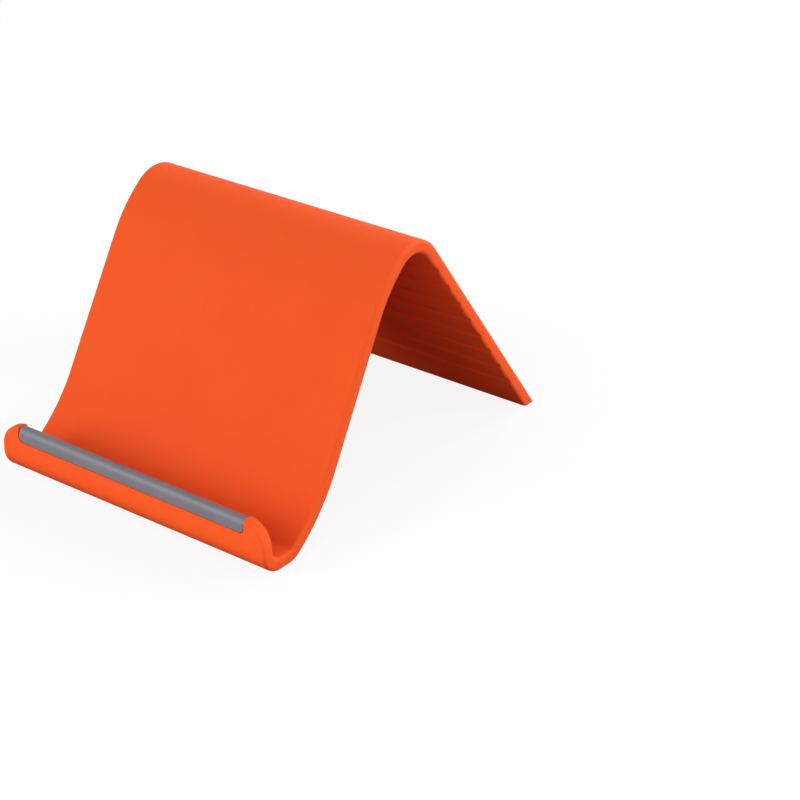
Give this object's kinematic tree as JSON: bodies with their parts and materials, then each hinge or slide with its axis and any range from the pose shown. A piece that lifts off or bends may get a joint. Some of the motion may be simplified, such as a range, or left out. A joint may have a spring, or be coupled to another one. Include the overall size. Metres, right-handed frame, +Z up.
{
  "type": "desktop phone stand",
  "caption": "Desktop phone stand: a moulded sheet bent into a lip with a soft grip strip, a cradle for the phone, a leaning back rest and a grooved leg.",
  "frame": {"origin": "on the floor, in the middle of the stand's width and depth", "axes": "+X across the stand, to the right as seen from the front; +Y from the lip back to the leg; +Z up"},
  "size_m": [0.065, 0.0842, 0.0485],
  "materials": {
    "body": "fine matt moulded texture, orange",
    "strip": "satin soft rubber, grey"
  },
  "bodies": {
    "root": {"stand_body": "body", "grip_strip": "strip"}
  },
  "joints": []
}
